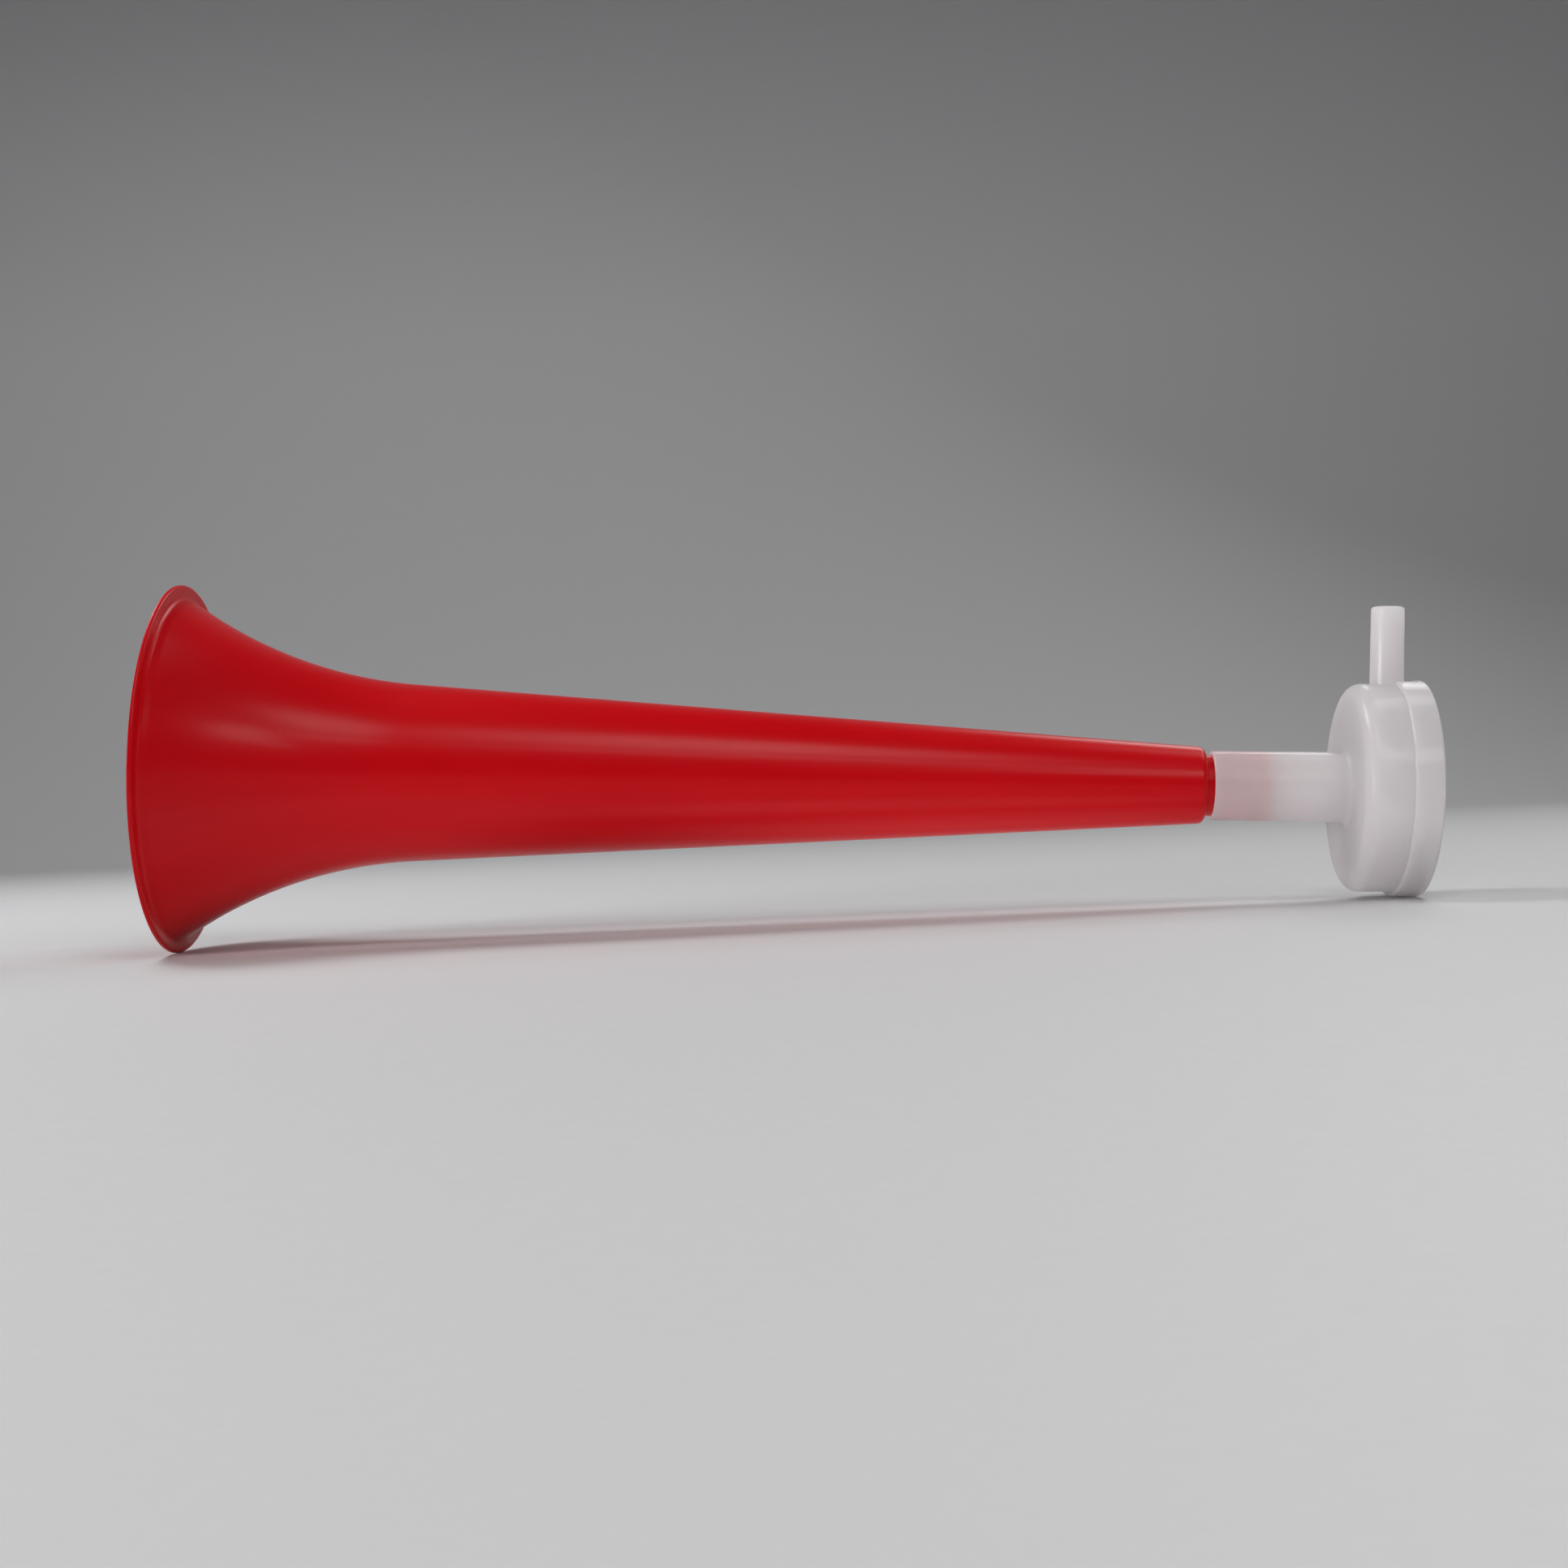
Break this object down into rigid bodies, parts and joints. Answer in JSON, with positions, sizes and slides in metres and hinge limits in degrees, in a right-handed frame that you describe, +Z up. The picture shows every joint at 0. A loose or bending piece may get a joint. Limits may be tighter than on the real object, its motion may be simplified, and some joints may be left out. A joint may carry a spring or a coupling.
{
  "type": "stadium horn",
  "caption": "Plastic stadium horn: a flared trumpet with a push-on membrane head, side blow pipe and notched retaining cap, lying on its rim and cap.",
  "frame": {"origin": "centre of the ground under the horn as it lies on its rim and its cap", "axes": "+X from the bell towards the head, +Z up along the blow pipe's side; the horn's own axis drops 3.57 degrees towards +X"},
  "size_m": [0.3692, 0.1086, 0.1084],
  "materials": {
    "trumpet_red": "glossy moulded plastic, faint flow lines",
    "housing_white": "milky translucent plastic, satin",
    "membrane_film": "thin clear film",
    "cap_white": "milky translucent plastic, satin"
  },
  "bodies": {
    "trumpet": {"trumpet": "trumpet_red"},
    "head": {"head_housing": "housing_white"},
    "membrane": {"membrane": "membrane_film"},
    "cap": {"retaining_cap": "cap_white"}
  },
  "joints": [
    {"name": "head_pull", "type": "slide", "parent": "trumpet", "child": "head", "axis": [0.9981, 0, -0.0622], "range_m": [0, 0.026]},
    {"name": "cap_pull", "type": "slide", "parent": "head", "child": "cap", "axis": [0.9981, 0, -0.0622], "range_m": [0, 0.024]},
    {"name": "membrane_lift", "type": "slide", "parent": "head", "child": "membrane", "axis": [0.9981, 0, -0.0622], "range_m": [0, 0.012]}
  ],
  "couplings": [
    {"joint": "membrane_lift", "follows": "cap_pull", "ratio": 0.5}
  ]
}
